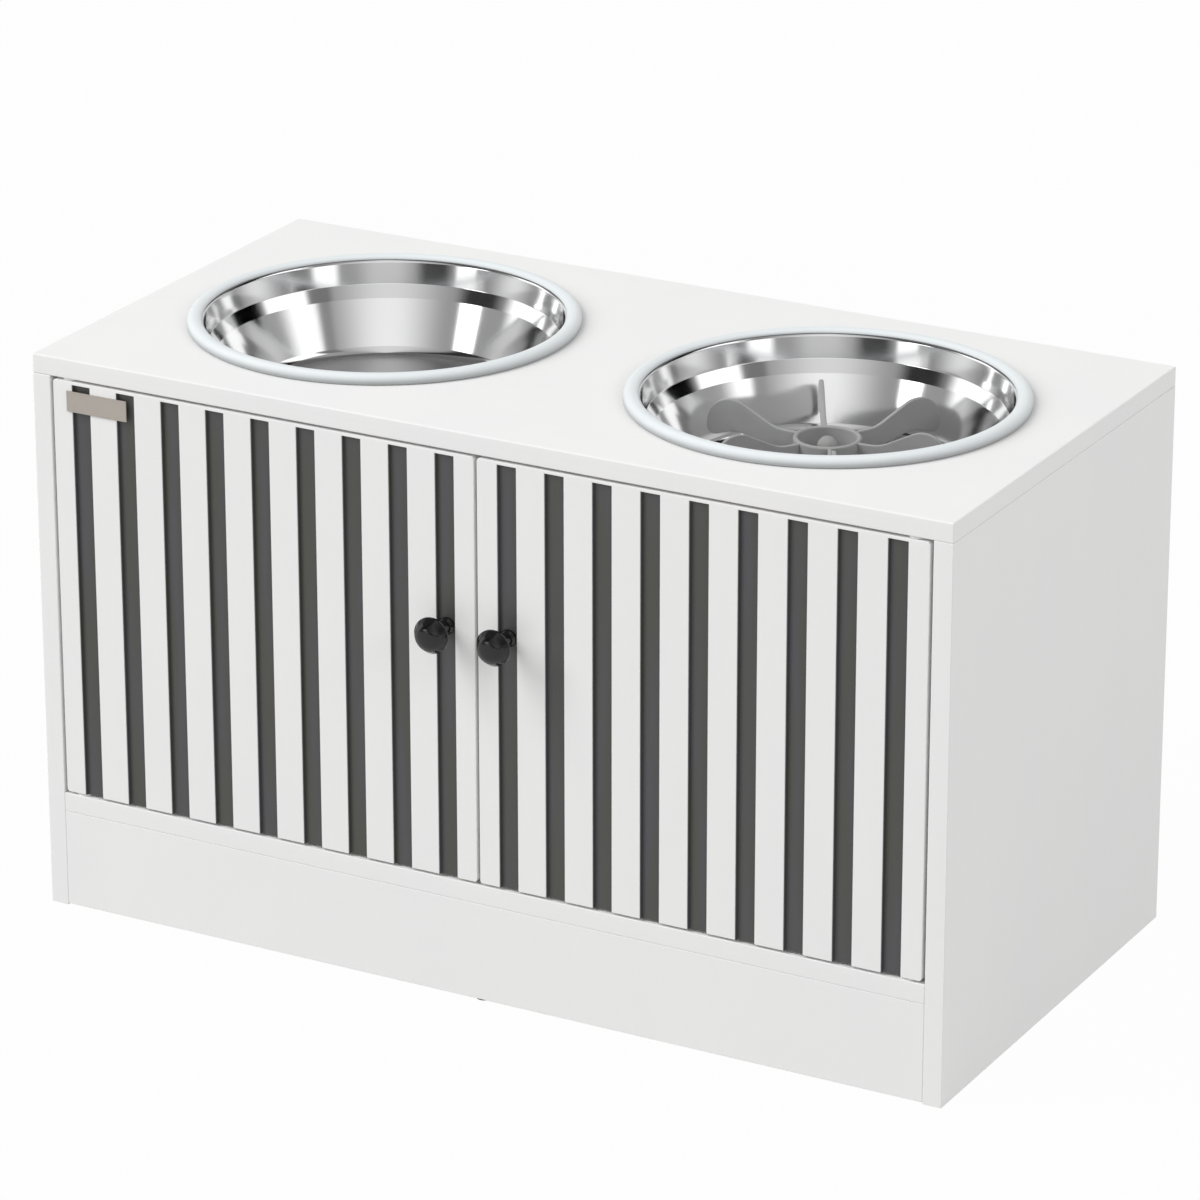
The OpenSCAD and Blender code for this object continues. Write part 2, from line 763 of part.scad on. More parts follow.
module insert_suction_cup() {
    knob_r = cup_knob_d / 2;
    stem = cup_stem_d / 2;
    seat = web_lift + web_t + cup_clear;
    top = hub_h;
    skirt = [[0, 2], [cup_d / 2 - 6, 1.6], [cup_d / 2 - 1.5, 0], [cup_d / 2, 0], [cup_d / 2, 1],
             [stem + 2, cup_h], [stem, cup_h + 1.5], [stem, seat]];
    cap = [for (i = [0 : 12]) let (a = -60 + i * 150 / 12) [knob_r * cos(a), top - knob_r + knob_r * sin(a)]];
    color([0.66, 0.66, 0.65]) at_insert()
        rotate_extrude() polygon(concat(skirt, [[knob_r * 0.5, seat]], cap));
}

top_panel();
side_panel(-1);  // left_side_panel
side_panel(1);  // right_side_panel
bottom_shelf();
front_plinth();
back_panel();
wood_dowels();
cam_bolts();
cam_discs();
back_nails();
centre_glide();
catch_housing();
catch_magnets();
catch_screws();
upper_bush(-1);  // left_upper_bush
lower_bush(-1);  // left_lower_bush
upper_bush(1);  // right_upper_bush
lower_bush(1);  // right_lower_bush
door_panel(-1);  // left_door_panel
groove_liners(-1);  // left_groove_liners
knob(-1);  // left_knob
knob_screw(-1);  // left_knob_screw
label_plate();
strike_plate(-1);  // left_strike_plate
strike_screws_pair(-1);  // left_strike_screws
upper_pin(-1);  // left_upper_pin
lower_pin(-1);  // left_lower_pin
door_panel(1);  // right_door_panel
groove_liners(1);  // right_groove_liners
knob(1);  // right_knob
knob_screw(1);  // right_knob_screw
strike_plate(1);  // right_strike_plate
strike_screws_pair(1);  // right_strike_screws
upper_pin(1);  // right_upper_pin
lower_pin(1);  // right_lower_pin
bowl(-1);  // left_bowl
bowl_ring(-1);  // left_bowl_ring
bowl(1);  // right_bowl
bowl_ring(1);  // right_bowl_ring
feeder_insert();
insert_suction_cup();
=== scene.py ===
"""Looks of a raised dog feeder: white cabinet with slatted doors, steel bowls and a slow-feed insert.

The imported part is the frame: it gives every piece's place, and the classes here give the finer sizes.
Lengths are in metres, +Z is up and the doors face -Y.
"""

import logging
import math
from dataclasses import dataclass
from enum import Enum

import bmesh
import bpy
from mathutils import Matrix, Vector


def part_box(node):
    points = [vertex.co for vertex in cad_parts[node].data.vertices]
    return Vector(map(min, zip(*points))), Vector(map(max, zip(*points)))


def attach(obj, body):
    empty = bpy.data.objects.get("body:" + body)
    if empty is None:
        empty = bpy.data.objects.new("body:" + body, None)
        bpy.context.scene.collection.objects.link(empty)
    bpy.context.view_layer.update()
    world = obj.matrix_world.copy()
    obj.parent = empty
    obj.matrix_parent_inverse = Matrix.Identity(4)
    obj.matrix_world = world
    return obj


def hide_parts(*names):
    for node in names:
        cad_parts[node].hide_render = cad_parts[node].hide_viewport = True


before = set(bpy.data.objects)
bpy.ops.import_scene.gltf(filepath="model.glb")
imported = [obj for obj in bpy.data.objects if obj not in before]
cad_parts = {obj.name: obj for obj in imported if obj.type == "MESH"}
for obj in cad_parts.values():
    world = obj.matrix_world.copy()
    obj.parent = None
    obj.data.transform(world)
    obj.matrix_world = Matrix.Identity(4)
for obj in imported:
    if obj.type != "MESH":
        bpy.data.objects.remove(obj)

LOG = logging.getLogger("feeder")
MM = 0.001
NEAR = 1e-5
UP = Vector((0.0, 0.0, 1.0))

Pair = tuple[float, float]
Triple = tuple[float, float, float]
Vert, Edge, Face = bmesh.types.BMVert, bmesh.types.BMEdge, bmesh.types.BMFace
Element = Vert | Edge | Face


class Side(Enum):
    """The side of the cabinet that a door or a bowl is on, as seen from the doors."""

    LEFT = -1
    RIGHT = 1

    @property
    def word(self) -> str:
        """The side's name as it stands in node names."""
        return self.name.lower()


# ---- shader arithmetic ----


class Term:
    """A shader socket that adds its own Math nodes when it is used in an expression."""

    def __init__(self, paint: "Paint", socket: bpy.types.NodeSocket) -> None:
        """Wraps one output socket of the paint's node tree."""
        self.paint = paint
        self.socket = socket

    def __add__(self, other: "Term | float") -> "Term":
        """This value plus another."""
        return self.paint.math("ADD", self, other)

    __radd__ = __add__

    def __sub__(self, other: "Term | float") -> "Term":
        """This value less another."""
        return self.paint.math("SUBTRACT", self, other)

    def __rsub__(self, other: "Term | float") -> "Term":
        """A number less this value."""
        return self.paint.math("SUBTRACT", other, self)

    def __mul__(self, other: "Term | float") -> "Term":
        """This value times another."""
        return self.paint.math("MULTIPLY", self, other)

    __rmul__ = __mul__

    def __truediv__(self, other: "Term | float") -> "Term":
        """This value divided by another."""
        return self.paint.math("DIVIDE", self, other)

    def step(self, low: float, high: float) -> "Term":
        """A smooth step from 0, where the value is low, to 1, where it is high."""
        inputs = {0: self, 1: low, 2: high}
        return self.paint.node("ShaderNodeMapRange", inputs, interpolation_type="SMOOTHSTEP")


@dataclass(frozen=True)
class Grain:
    """A cloudy pattern: its size along X, Y and Z in millimetres, its finer layers and their strength."""

    size: Triple
    layers: float = 3.0
    strength: float = 0.5


class Paint:
    """A shader node tree under construction."""

    def __init__(self, block: bpy.types.Material | bpy.types.World) -> None:
        """Turns on the nodes of a material or a world, and clears them."""
        block.use_nodes = True
        self.tree = block.node_tree
        self.tree.nodes.clear()

    def node(
        self,
        kind: str,
        inputs: dict[int | str, object] | None = None,
        output: int | str = 0,
        **settings: str,
    ) -> Term:
        """Adds a node.

        Args:
            kind: The node's type.
            inputs: The value or the term for each of its sockets.
            output: The output socket that is wanted.
            settings: Its properties, which are set first.

        Returns:
            The wanted output as a term.
        """
        made = self.tree.nodes.new(kind)
        for key, value in settings.items():
            setattr(made, key, value)
        for key, value in (inputs or {}).items():
            if isinstance(value, Term):
                self.tree.links.new(value.socket, made.inputs[key])
            else:
                made.inputs[key].default_value = value
        return Term(self, made.outputs[output]) if made.outputs else Term(self, None)

    def point(self) -> Term:
        """The place on the piece, in metres."""
        return self.node("ShaderNodeTexCoord", output="Object")

    def math(self, operation: str, *operands: Term | float) -> Term:
        """Adds a Math node that works on these."""
        return self.node("ShaderNodeMath", dict(enumerate(operands)), operation=operation)

    def vector(self, operation: str, first: Term, second: Triple) -> Term:
        """Adds a Vector Math node that works on a vector and a constant one."""
        return self.node("ShaderNodeVectorMath", {0: first, 1: second}, operation=operation)

    def split(self, vector: Term) -> tuple[Term, Term, Term]:
        """The three components of a vector."""
        made = self.node("ShaderNodeSeparateXYZ", {0: vector})
        return tuple(Term(self, socket) for socket in made.socket.node.outputs)

    def noise(self, grain: Grain) -> Term:
        """A cloudy pattern in the piece's own space, about 0.5 on average."""
        place = self.vector("DIVIDE", self.point(), tuple(part * MM for part in grain.size))
        inputs = {"Vector": place, "Scale": 1.0, "Detail": grain.layers, "Roughness": grain.strength}
        return self.node("ShaderNodeTexNoise", inputs)

    def blend(self, share: Term, first: Triple, second: Triple) -> Term:
        """A colour between two, by a share from 0 to 1."""
        inputs = {"Factor": share, 6: (*first, 1.0), 7: (*second, 1.0)}
        return self.node("ShaderNodeMix", inputs, 2, data_type="RGBA")

    def relief(self, height: Term, depth: float, under: Term | None = None) -> Term:
        """A bump.

        Args:
            height: The height from 0 to 1.
            depth: What a height of 1 stands for, in metres.
            under: The normal that this bump is laid over.

        Returns:
            The new normal.
        """
        inputs = {"Height": height, "Distance": depth, "Strength": 1.0}
        if under is not None:
            inputs["Normal"] = under
        return self.node("ShaderNodeBump", inputs)

    def surface(self, **inputs: object) -> None:
        """Ends the tree in a Principled shader, whose sockets are named with underscores for spaces."""
        named = {key.replace("_", " "): value for key, value in inputs.items()}
        shader = self.node("ShaderNodeBsdfPrincipled", named)
        self.node("ShaderNodeOutputMaterial", {"Surface": shader})


# ---- finishes ----


def shade(colour: Triple, factor: float) -> Triple:
    """A colour made lighter or darker by a factor."""
    return tuple(min(1.0, part * factor) for part in colour)


@dataclass(frozen=True)
class Finish:
    """A surface finish, made into one node material the first time that it is used.

    A broad pattern clouds the colour, between the two tones, and a fine pattern textures the surface.
    Both vary the roughness. The span is the part of the broad pattern over which the colour changes.
    """

    name: str
    colour: Triple
    broad: Grain
    fine: Grain
    roughness: float
    span: Pair | None = (0.3, 0.7)
    tones: Pair = (0.96, 1.04)
    broad_haze: float = 0.1
    fine_haze: float = 0.08
    depth: float = 0.01 * MM
    metallic: float = 0.0
    sheen: float = 0.0
    specular: float = 0.5

    def material(self) -> bpy.types.Material:
        """The finish's material."""
        made = bpy.data.materials.get(self.name)
        if made is None:
            made = bpy.data.materials.new(self.name)
            made.diffuse_color = (*self.colour, 1.0)
            self.lay(Paint(made))
        return made

    def lay(self, paint: Paint) -> None:
        """Builds the node tree."""
        broad, fine = paint.noise(self.broad), paint.noise(self.fine)
        paint.surface(
            Base_Color=self.tint(paint, broad),
            Metallic=self.metallic,
            Roughness=self.haze(paint, broad, fine),
            Normal=self.relief(paint, fine),
            Sheen_Weight=self.sheen,
            Specular_IOR_Level=self.specular,
        )

    def ends(self) -> tuple[Triple, Triple]:
        """The two colours that the broad pattern runs between."""
        return shade(self.colour, self.tones[0]), shade(self.colour, self.tones[1])

    def tint(self, paint: Paint, broad: Term) -> Term:
        """The clouded colour."""
        share = broad.step(*self.span) if self.span else broad
        return paint.blend(share, *self.ends())

    def haze(self, paint: Paint, broad: Term, fine: Term) -> Term:
        """The roughness."""
        return self.roughness + self.broad_haze * (broad - 0.5) + self.fine_haze * (fine - 0.5)

    def relief(self, paint: Paint, fine: Term) -> Term:
        """The normal."""
        return paint.relief(fine, self.depth)


@dataclass(frozen=True)
class Laminate(Finish):
    """White melamine laminate: faint clouding, a pearl emboss and a slow waviness."""

    broad: Grain = Grain((60, 60, 150), 4.0, 0.55)
    fine: Grain = Grain((0.7,) * 3, 2.0)
    roughness: float = 0.42
    tones: Pair = (0.985, 1.0)
    warmth: Triple = (1.0, 0.998, 0.988)
    broad_haze: float = 0.05
    fine_haze: float = 0.06
    depth: float = 0.008 * MM
    wave: Grain = Grain((9,) * 3, 2.0)
    wave_depth: float = 0.02 * MM

    def ends(self) -> tuple[Triple, Triple]:
        """The colour made a little darker, and a little warmer."""
        dark, light = super().ends()
        return dark, tuple(part * warm for part, warm in zip(light, self.warmth))

    def relief(self, paint: Paint, fine: Term) -> Term:
        """The pearls over the waves."""
        return paint.relief(fine, self.depth, paint.relief(paint.noise(self.wave), self.wave_depth))


@dataclass(frozen=True)
class Moulded(Finish):
    """Moulded plastic or rubber: faint flow marks and a fine texture."""

    broad: Grain = Grain((18, 18, 10.8), 4.0, 0.6)
    fine: Grain = Grain((0.35,) * 3, 2.0)
    roughness: float = 0.45


@dataclass(frozen=True)
class PaintedShadeSilicone(Moulded):
    """Soft silicone with painted shade: the colour darkens from the ring's crown down to its foot, in place
    of the shade on the bead's lower side.
    """

    roughness: float = 0.42
    sheen: float = 0.1
    # painted shade: the dark grey at the ring's foot, and the heights over which it fades into the pale
    # crown
    painted_shade_colour: Triple = (0.35, 0.365, 0.37)
    foot: float = 352.3 * MM
    crown: float = 358.0 * MM
    drift: float = 0.5 * MM

    def tint(self, paint: Paint, broad: Term) -> Term:
        """The colour with painted shade: darker towards the ring's foot, by height alone."""
        # painted shade: the colour runs from the pale crown down to a dark grey at the foot, by height
        height = paint.split(paint.point())[2] + self.drift * (broad - 0.5)
        return paint.blend(height.step(self.foot, self.crown), self.painted_shade_colour, self.colour)


@dataclass(frozen=True)
class GrooveLining(Finish):
    """Dark lining of a groove: it turns from cool to warm grey along and across the grooves."""

    broad: Grain = Grain((8, 8, 110), 3.0, 0.45)
    fine: Grain = Grain((0.5, 0.5, 14))
    roughness: float = 0.5
    span: Pair = (0.36, 0.64)
    fine_haze: float = 0.2
    depth: float = 0.02 * MM
    warm: Triple = (0.068, 0.068, 0.059)

    def ends(self) -> tuple[Triple, Triple]:
        """The cool grey and the warm one."""
        return self.colour, self.warm


@dataclass(frozen=True)
class Lacquer(Finish):
    """Glossy lacquer over cast metal, with the least orange peel and a few wiped smudges."""

    broad: Grain = Grain((5, 5, 8), 4.0, 0.6)
    fine: Grain = Grain((1.4,) * 3, 2.0)
    roughness: float = 0.1
    span: None = None
    tones: Pair = (1.0, 1.5)
    smudge: Pair = (0.5, 0.8)
    depth: float = 0.004 * MM
    specular: float = 0.42

    def haze(self, paint: Paint, broad: Term, fine: Term) -> Term:
        """The roughness, higher on the smudges."""
        return self.roughness + self.broad_haze * broad.step(*self.smudge)


@dataclass(frozen=True)
class Metal(Finish):
    """Plain worked metal: brushed along one direction, with a little clouding."""

    broad: Grain = Grain((7,) * 3)
    fine: Grain = Grain((0.3, 0.3, 6), 3.0, 0.6)
    roughness: float = 0.3
    span: None = None
    tones: Pair = (0.93, 1.04)
    broad_haze: float = 0.12
    fine_haze: float = 0.16
    depth: float = 0.004 * MM
    metallic: float = 1.0


@dataclass(frozen=True)
class SpunSteel(Metal):
    """Polished stainless steel of a spun bowl: turning lines on its floor, drawing marks up its wall."""

    broad: Grain = Grain((24,) * 3)
    fine: Grain = Grain((2.5, 2.5, 45), 3.0, 0.55)
    roughness: float = 0.1
    tones: Pair = (0.98, 1.02)
    broad_haze: float = 0.05
    fine_haze: float = 0.04
    depth: float = 0.003 * MM
    centre: Triple = (0.0, 0.0, 0.0)
    floor_height: float = 0.0
    floor_bend: Pair = (0.1 * MM, 0.9 * MM)
    floor_haze: float = 0.34
    line_pitch: float = 1.1 * MM
    line_depth: float = 0.0012 * MM
    wander: Grain = Grain((30,) * 3, 2.0)
    wander_turn: float = 5.0

    def haze(self, paint: Paint, broad: Term, fine: Term) -> Term:
        """The roughness, higher on the floor."""
        return super().haze(paint, broad, fine) + self.floor_haze * self.on_floor(paint)

    def relief(self, paint: Paint, fine: Term) -> Term:
        """The floor's turning lines over the wall's drawing marks."""
        flat = paint.vector("MULTIPLY", self.from_axis(paint), (1.0, 1.0, 0.0))
        radius = paint.node("ShaderNodeVectorMath", {0: flat}, 1, operation="LENGTH")
        turn = radius * (math.tau / self.line_pitch) + self.wander_turn * paint.noise(self.wander)
        lines = paint.math("SINE", turn) * self.on_floor(paint)
        return paint.relief(lines, self.line_depth, super().relief(paint, fine))

    def from_axis(self, paint: Paint) -> Term:
        """The place, from the middle of the bowl's mouth."""
        return paint.vector("SUBTRACT", paint.point(), self.centre)

    def on_floor(self, paint: Paint) -> Term:
        """1 on the bowl's floor and 0 on its wall."""
        height = paint.split(self.from_axis(paint))[2]
        return 1.0 - height.step(*(self.floor_height + bend for bend in self.floor_bend))


@dataclass(frozen=True)
class Timber(Finish):
    """Plain beech, with its flecks along the grain."""

    broad: Grain = Grain((1.2, 1.2, 14), 5.0, 0.6)
    fine: Grain = Grain((1.2, 1.2, 14), 5.0, 0.6)
    roughness: float = 0.6
    tones: Pair = (0.8, 1.0)
    broad_haze: float = 0.15
    fine_haze: float = 0.0
    depth: float = 0.05 * MM


WHITE_BOARD = Laminate("white_laminate", (0.905, 0.905, 0.903))
BACK_BOARD = Laminate("back_board_white", (0.86, 0.86, 0.85), roughness=0.55, depth=0.015 * MM)
LINER = GrooveLining("dark_groove_lining", (0.074, 0.072, 0.078))
BLACK_KNOB = Lacquer("black_lacquer", (0.006, 0.006, 0.0065))
PLATE_METAL = Metal(
    "champagne_satin",
    (0.45, 0.41, 0.365),
    fine=Grain((12, 0.3, 0.25), 3.0, 0.6),
    roughness=0.42,
    metallic=0.35,
    depth=0.006 * MM,
)
# the rings' silicone, with painted shade darkening it towards its foot
RIM_SILICONE = PaintedShadeSilicone("pale_silicone", (0.80, 0.84, 0.855))
CUP_SILICONE = Moulded("grey_silicone", (0.33, 0.33, 0.325), roughness=0.42, tones=(0.98, 1.02))
INSERT_PLASTIC = Moulded("grey_insert_plastic", (0.37, 0.37, 0.372), roughness=0.38, tones=(0.965, 1.035))
GLIDE_PLASTIC = Moulded("dark_glide_plastic", (0.05, 0.05, 0.05))
HOUSING_PLASTIC = Moulded("white_housing_plastic", (0.82, 0.82, 0.81), tones=(0.985, 1.015))
NYLON = Moulded("natural_nylon", (0.78, 0.78, 0.75), roughness=0.4, tones=(0.98, 1.02))
FERRITE = Moulded("black_ferrite", (0.03, 0.03, 0.032), roughness=0.6, depth=0.03 * MM)
PLATED = Metal("zinc_plated_steel", (0.70, 0.71, 0.73), roughness=0.28)
CAST_ZINC = Metal(
    "raw_cast_zinc",
    (0.62, 0.63, 0.65),
    fine=Grain((0.6,) * 3, 3.0, 0.6),
    roughness=0.42,
    depth=0.01 * MM,
)
BEECH = Timber("plain_beech", (0.62, 0.43, 0.25))


# ---- modelling ----


@dataclass(frozen=True)
class Box:
    """A box along the axes."""

    low: Vector
    high: Vector

    @classmethod
    def of(cls, node: str) -> "Box":
        """The box of a node of the frame."""
        return cls(*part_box(node))

    @property
    def centre(self) -> Vector:
        """The middle of the box."""
        return (self.low + self.high) / 2

    @property
    def size(self) -> Vector:
        """The box's lengths along X, Y and Z."""
        return self.high - self.low

    def holds(self, edge: Edge) -> bool:
        """Whether a mesh edge lies along one of the box's twelve edges."""
        planes = [(k, level) for k in range(3) for level in (self.low[k], self.high[k])]
        return sum(all(abs(vert.co[k] - level) < NEAR for vert in edge.verts) for k, level in planes) >= 2


class Line:
    """A flat line of points, drawn from a few corners with rounding."""

    def __init__(self, corners: list[Pair], radii: list[float], steps: int = 8) -> None:
        """Draws the line.

        Args:
            corners: The corners, from one end to the other.
            radii: The radius of the rounding at each corner; the two ends stay as they are.
            steps: How many facets each rounding has.
        """
        self.points: list[Pair] = [corners[0]]
        for before, corner, after, radius in zip(corners, corners[1:], corners[2:], radii[1:]):
            self.points += self._round(Vector(before), Vector(corner), Vector(after), radius, steps)
        self.points.append(corners[-1])

    @staticmethod
    def _round(before: Vector, corner: Vector, after: Vector, radius: float, steps: int) -> list[Pair]:
        """The arc at one corner, or the bare corner where the radius is 0."""
        if radius <= 0:
            return [tuple(corner)]
        back = (before - corner).normalized()
        onward = (after - corner).normalized()
        half = back.angle(onward) / 2
        middle = corner + (back + onward).normalized() * (radius / math.sin(half))
        start = corner + back * (radius / math.tan(half)) - middle
        turn = math.copysign(math.pi - 2 * half, -back.x * onward.y + back.y * onward.x)
        arc = [Matrix.Rotation(turn * step / steps, 2) @ start + middle for step in range(steps + 1)]
        return [tuple(point) for point in arc]

    def beside(self, distance: float) -> list[Pair]:
        """The line's points, moved to the right of its direction.

        Args:
            distance: How far, in metres.

        Returns:
            The moved points, in the same order.
        """
        points = [Vector(point) for point in self.points]
        heads = [(b - a).normalized() for a, b in zip(points, points[1:])]
        moved = []
        for index, point in enumerate(points):
            before = heads[max(index - 1, 0)]
            after = heads[min(index, len(heads) - 1)]
            right_1, right_2 = Vector((before.y, -before.x)), Vector((after.y, -after.x))
            moved.append(tuple(point + (right_1 + right_2) * (distance / (1 + right_1.dot(right_2)))))
        return moved


def add_object(name: str, data: bpy.types.ID) -> bpy.types.Object:
    """Puts a mesh, a lamp or a camera into the scene."""
    made = bpy.data.objects.new(name, data)
    bpy.context.scene.collection.objects.link(made)
    return made


class Sketch:
    """A mesh under construction, with the operators that this object's pieces need."""

    SHARP = math.radians(40)
    FLAT = math.radians(0.5)
    MERGE = 1e-7
    MERGE_FRAME = 1e-6

    def __init__(self) -> None:
        """Starts an empty mesh."""
        self.bm = bmesh.new()

    def copy_of(self, node: str) -> "Sketch":
        """Adds a copy of a node of the frame, with its loose triangles merged into faces."""
        self.bm.from_mesh(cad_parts[node].data)
        verts, edges = self.bm.verts, self.bm.edges
        bmesh.ops.remove_doubles(self.bm, verts=verts, dist=self.MERGE_FRAME)
        bmesh.ops.dissolve_limit(self.bm, angle_limit=self.FLAT, verts=verts, edges=edges)
        return self

    def chain(self, points: list[Vector], closed: bool) -> list[Element]:
        """Adds edges from point to point, and back to the first where the chain is closed."""
        verts = [self.bm.verts.new(point) for point in points]
        ends = verts[1:] + verts[:1] if closed else verts[1:]
        return verts + [self.bm.edges.new(pair) for pair in zip(verts, ends)]

    def lathe(self, outline: list[Pair], centre: Vector, steps: int, axis: Vector = UP) -> "Sketch":
        """Spins an outline.

        Args:
            outline: Radius and height of each point; an outline that starts off the axis is closed.
            centre: The point on the axis at height 0.
            steps: How many facets go round.
            axis: The direction of the heights.

        Returns:
            This sketch.
        """
        side = axis.orthogonal().normalized()
        points = [centre + side * radius + axis * height for radius, height in outline]
        chain = self.chain(points, outline[0][0] > 0)
        bmesh.ops.spin(
            self.bm, geom=chain, cent=centre, axis=axis, angle=math.tau, steps=steps, use_merge=True
        )
        self.close()
        return self

    def face(self, corners: list[Vector]) -> Face:
        """Adds one flat face."""
        return self.bm.faces.new([self.bm.verts.new(corner) for corner in corners])

    def push(self, faces: list[Face], step: Vector) -> list[Element]:
        """Extrudes faces.

        Args:
            faces: The faces.
            step: Where they go.

        Returns:
            The new vertices, edges and faces at the far end.
        """
        made = bmesh.ops.extrude_face_region(self.bm, geom=faces)["geom"]
        self.shift(made, step)
        return made

    def shift(self, items: list[Element], step: Vector) -> None:
        """Moves the vertices among these elements."""
        verts = [item for item in items if isinstance(item, Vert)]
        bmesh.ops.translate(self.bm, verts=verts, vec=step)

    def close(self) -> None:
        """Merges doubled vertices and turns every face outwards."""
        bmesh.ops.remove_doubles(self.bm, verts=self.bm.verts, dist=self.MERGE)
        bmesh.ops.recalc_face_normals(self.bm, faces=self.bm.faces)

    def ease(self, radius: float, segments: int = 2, within: Box | None = None) -> "Sketch":
        """Rounds the arrises.

        Args:
            radius: The radius of the rounding.
            segments: How many facets it has.
            within: Where given, only the edges of this box are rounded.

        Returns:
            This sketch.
        """
        self.close()
        sharp = [edge for edge in self.bm.edges if edge.is_manifold]
        sharp = [edge for edge in sharp if edge.calc_face_angle_signed() > self.SHARP]
        if within is not None:
            sharp = [edge for edge in sharp if within.holds(edge)]
        self.bevel(sharp, radius, segments)
        return self

    def bevel(self, edges: list[Edge], radius: float, segments: int) -> None:
        """Rounds edges, whatever their angle."""
        bmesh.ops.bevel(
            self.bm,
            geom=edges,
            offset=radius,
            offset_type="OFFSET",
            segments=segments,
            profile=0.5,
            affect="EDGES",
            clamp_overlap=False,
            material=-1,
        )

    def mesh(self, name: str) -> bpy.types.Mesh:
        """Turns the sketch into a mesh."""
        made = bpy.data.meshes.new(name)
        self.bm.to_mesh(made)
        self.bm.free()
        return made

    def cast(
        self, name: str, finish: Finish, body: str, slot: str, node: str, sharp_angle: float = 38.0
    ) -> None:
        """Turns the sketch into a finished piece.

        Args:
            name: The piece's name.
            finish: What it is made of.
            body: The body that it moves with.
            slot: Not used.
            node: The node of the frame that it stands for.
            sharp_angle: The angle in degrees past which an edge is not shaded smooth.
        """
        self.close()
        mesh = self.mesh(name)
        mesh.polygons.foreach_set("use_smooth", [True] * len(mesh.polygons))
        mesh.set_sharp_from_angle(angle=math.radians(sharp_angle))
        mesh.materials.append(finish.material())
        piece = add_object(name, mesh)
        shading = piece.modifiers.new("even_shading", "WEIGHTED_NORMAL")
        shading.keep_sharp = True
        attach(piece, body)
        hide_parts(node)
        LOG.info("%s: %d faces, on %s, for %s", name, len(mesh.polygons), body, node)


def coat(node: str, finish: Finish) -> None:
    """Gives a node of the frame its finish, and leaves its shape alone."""
    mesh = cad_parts[node].data
    mesh.materials.clear()
    mesh.materials.append(finish.material())
    LOG.info("%s: kept, in %s", node, finish.name)


# ---- the cabinet ----


@dataclass
class Carcass:
    """The boards that stand still, with eased arrises."""

    body: str = "cabinet"
    ease: float = 0.5 * MM
    top_ease: float = 0.8 * MM
    rim_steps: int = 160
    cutout_radius: float = 111.0 * MM

    def build(self) -> None:
        """Builds every fixed board."""
        self.top()
        for node in ("left_side_panel", "right_side_panel", "bottom_shelf", "front_plinth"):
            self.board(node, WHITE_BOARD)
        self.board("back_panel", BACK_BOARD)

    def top(self) -> None:
        """Builds the top board with its two round cut-outs."""
        box = Box.of("top_panel")
        sketch = Sketch()
        low, high = box.low, box.high
        corners = [(low.x, low.y), (high.x, low.y), (high.x, high.y), (low.x, high.y)]
        sketch.chain([Vector((x, y, low.z)) for x, y in corners], True)
        for side in Side:
            centre = Box.of(f"{side.word}_bowl_ring").centre
            spot = Matrix.Translation((centre.x, centre.y, low.z))
            bmesh.ops.create_circle(
                sketch.bm, segments=self.rim_steps, radius=self.cutout_radius, matrix=spot
            )
        bmesh.ops.triangle_fill(sketch.bm, use_beauty=True, edges=sketch.bm.edges[:])
        sketch.push(sketch.bm.faces[:], Vector((0, 0, box.size.z)))
        sketch.ease(self.top_ease, 3)
        sketch.cast("top_board", WHITE_BOARD, self.body, "white_board", "top_panel")

    def board(self, node: str, finish: Finish) -> None:
        """Builds a board from its node, with all its pockets and grooves.

        Args:
            node: The node.
            finish: What its faces are covered with.
        """
        sketch = Sketch().copy_of(node).ease(self.ease, 2, Box.of(node))
        slot = "back_board" if node == "back_panel" else "white_board"
        sketch.cast(f"{node}_board", finish, self.body, slot, node)


@dataclass
class JointHardware:
    """Dowels, bolts, cams, nails, bushes and the glide, which keep the frame's shapes."""

    def build(self) -> None:
        """Gives each piece its finish."""
        coat("wood_dowels", BEECH)
        coat("cam_bolts", PLATED)
        coat("cam_discs", CAST_ZINC)
        coat("back_nails", PLATED)
        coat("centre_glide", GLIDE_PLASTIC)
        for side in Side:
            for level in ("upper", "lower"):
                coat(f"{side.word}_{level}_bush", NYLON)


@dataclass
class Catch:
    """The double magnetic catch under the top board."""

    body: str = "cabinet"
    ease: float = 0.6 * MM

    def build(self) -> None:
        """Builds the housing and dresses what it holds."""
        node = "catch_housing"
        sketch = Sketch().copy_of(node).ease(self.ease, 3, Box.of(node))
        sketch.cast("catch_case", HOUSING_PLASTIC, self.body, "white_plastic", node)
        coat("catch_magnets", FERRITE)
        coat("catch_screws", PLATED)


# ---- doors ----


